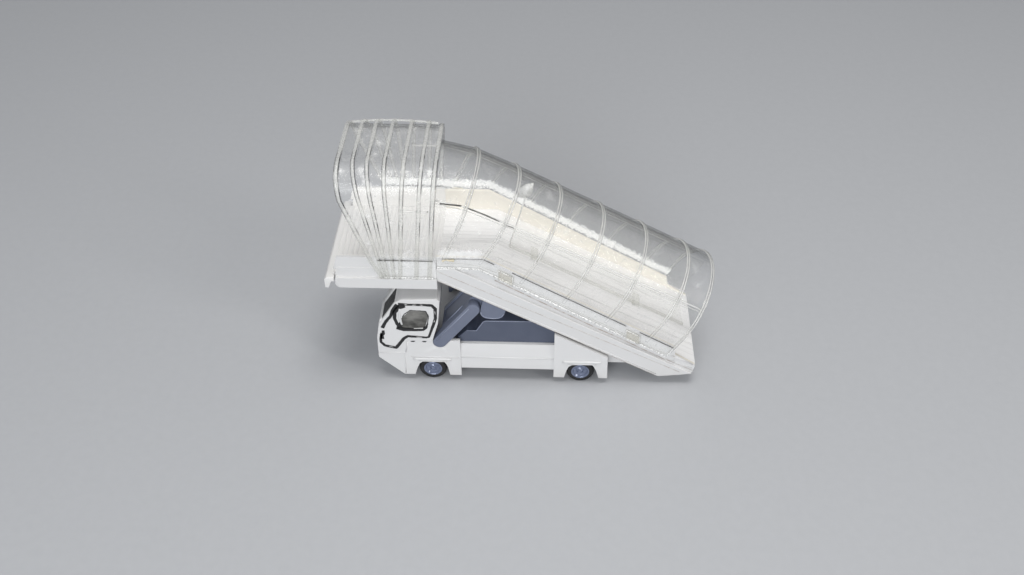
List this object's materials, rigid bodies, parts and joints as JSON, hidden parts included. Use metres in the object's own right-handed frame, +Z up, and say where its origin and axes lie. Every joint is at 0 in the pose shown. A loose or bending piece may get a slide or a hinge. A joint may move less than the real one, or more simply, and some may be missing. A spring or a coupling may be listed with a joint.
{
  "type": "miniature mobile aircraft stairs",
  "caption": "Small-scale model of a self-propelled passenger stair truck: half cab, platform with clear hood, sloping flight under a clear ribbed tunnel, rolling wheels.",
  "frame": {"origin": "on the table, under the middle of the whole model's length and width", "axes": "+X runs from the cab back to the foot of the flight, +Y to the machine's right side, +Z up"},
  "size_m": [0.047, 0.015, 0.031],
  "materials": {
    "white_body": "satin, moulded",
    "white_flight": "satin, moulded",
    "black_base": "matt, moulded",
    "smoked_glazing": "gloss, smoky",
    "blue_grey": "semi-gloss",
    "clear_plastic": "clear, polished, slightly rippled",
    "steel": "drawn rod",
    "wheel_disc": "gloss",
    "tyre": "matt"
  },
  "bodies": {
    "machine": {"chassis_shell": "white_body", "cab_shell": "white_body", "rear_frame": "white_body", "stringer_left": "white_flight", "stringer_right": "white_flight", "stair_flight": "white_flight", "platform_deck": "white_flight", "platform_coaming_left": "white_flight", "platform_coaming_right": "white_flight", "chassis_base": "black_base", "cab_glazing": "smoked_glazing", "engine_pod": "blue_grey", "lift_arm_left": "blue_grey", "lift_arm_right": "blue_grey", "lift_mast_left": "blue_grey", "lift_mast_right": "blue_grey", "bracket_left": "blue_grey", "bracket_right": "blue_grey", "canopy_hood": "clear_plastic", "canopy_tunnel": "clear_plastic", "centre_screen": "clear_plastic"},
    "front_wheelset": {"front_axle": "steel", "hub_front_left": "wheel_disc", "hub_front_right": "wheel_disc", "tyre_front_left": "tyre", "tyre_front_right": "tyre"},
    "rear_wheelset": {"rear_axle": "steel", "hub_rear_left": "wheel_disc", "hub_rear_right": "wheel_disc", "tyre_rear_left": "tyre", "tyre_rear_right": "tyre"}
  },
  "joints": [
    {"name": "front_wheels_roll", "type": "hinge", "parent": "machine", "child": "front_wheelset", "pos_m": [-0.0114, 0, 0.00175], "axis": [0, 1, 0], "continuous": true},
    {"name": "rear_wheels_roll", "type": "hinge", "parent": "machine", "child": "rear_wheelset", "pos_m": [0.0073, 0, 0.00175], "axis": [0, 1, 0], "continuous": true}
  ]
}
